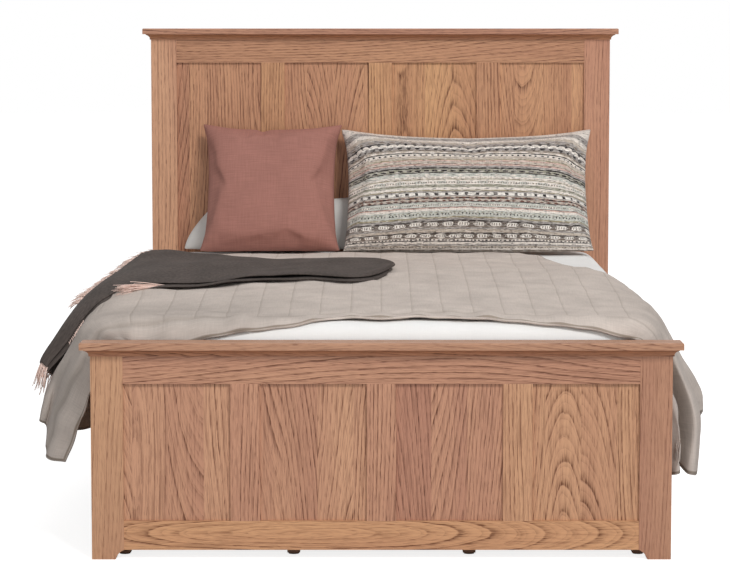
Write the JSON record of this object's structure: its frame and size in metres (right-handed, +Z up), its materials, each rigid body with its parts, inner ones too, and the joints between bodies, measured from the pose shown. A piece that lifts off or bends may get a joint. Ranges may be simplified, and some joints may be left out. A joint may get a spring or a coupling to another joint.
{
  "type": "panel bed",
  "caption": "Panel bed with a tall frame-and-panel headboard, a low footboard, slatted base and made-up bedding.",
  "frame": {"origin": "on the floor under the middle of the bed, midway between the front edge of the footboard cap and the back of the headboard", "axes": "+Y from the foot of the bed to the head, +X to the right seen from the foot, +Z up"},
  "size_m": [1.8902, 2.206, 1.481],
  "materials": {
    "oak_post": "oiled light oak, straight grain",
    "oak_panel": "oiled light oak, flat-sawn staves",
    "oak_stile": "oiled light oak",
    "oak_rail": "oiled light oak, grain along the rail",
    "oak_moulding": "oiled light oak, worked moulding",
    "dowel_beech": "plain beech",
    "slat_pine": "planed pine",
    "base_pine": "planed pine",
    "plate_steel": "zinc plated",
    "screw_steel": "zinc plated",
    "glide_felt": "dark felt",
    "slat_tape": "woven tape",
    "ticking": "knitted mattress cover",
    "sheet_cotton": "white cotton",
    "quilt_linen": "stitched linen, taupe",
    "throw_wool": "woven wool, charcoal",
    "fringe_yarn": "combed yarn ends",
    "pillow_cotton": "plain white cotton",
    "cushion_linen": "slub linen, dusty terracotta",
    "pillow_weave": "striped woven cotton"
  },
  "bodies": {
    "root": {"bearer_1": "base_pine", "bearer_2": "base_pine", "bearer_3": "base_pine", "bearer_4": "base_pine", "bearer_legs_1": "base_pine", "bearer_legs_2": "base_pine", "bearer_legs_3": "base_pine", "bearer_legs_4": "base_pine", "cleat_left": "base_pine", "cleat_right": "base_pine", "cleat_screws": "screw_steel", "fitted_sheet": "sheet_cotton", "foot_bottom_rail": "oak_rail", "foot_cap": "oak_moulding", "foot_cap_dowels": "dowel_beech", "foot_cove_front": "oak_moulding", "foot_cove_returns": "oak_moulding", "foot_panel_1": "oak_panel", "foot_panel_2": "oak_panel", "foot_panel_3": "oak_panel", "foot_panel_4": "oak_panel", "foot_post_left": "oak_post", "foot_post_right": "oak_post", "foot_stile_1": "oak_stile", "foot_stile_2": "oak_stile", "foot_stile_3": "oak_stile", "foot_top_rail": "oak_rail", "head_bottom_rail": "oak_rail", "head_cap": "oak_moulding", "head_cap_dowels": "dowel_beech", "head_cove_front": "oak_moulding", "head_cove_returns": "oak_moulding", "head_panel_1": "oak_panel", "head_panel_2": "oak_panel", "head_panel_3": "oak_panel", "head_panel_4": "oak_panel", "head_post_left": "oak_post", "head_post_right": "oak_post", "head_stile_1": "oak_stile", "head_stile_2": "oak_stile", "head_stile_3": "oak_stile", "head_top_rail": "oak_rail", "hook_plate_screws": "screw_steel", "joist_left": "base_pine", "joist_right": "base_pine", "leg_glides": "glide_felt", "long_pillow": "pillow_weave", "mattress": "ticking", "plain_pillow": "pillow_cotton", "post_hook_plates": "plate_steel", "quilt": "quilt_linen", "rail_hook_plates": "plate_steel", "side_rail_left": "oak_rail", "side_rail_right": "oak_rail", "slat_tapes": "slat_tape", "slats": "slat_pine", "square_cushion": "cushion_linen", "throw": "throw_wool", "throw_fringe": "fringe_yarn"}
  },
  "joints": []
}
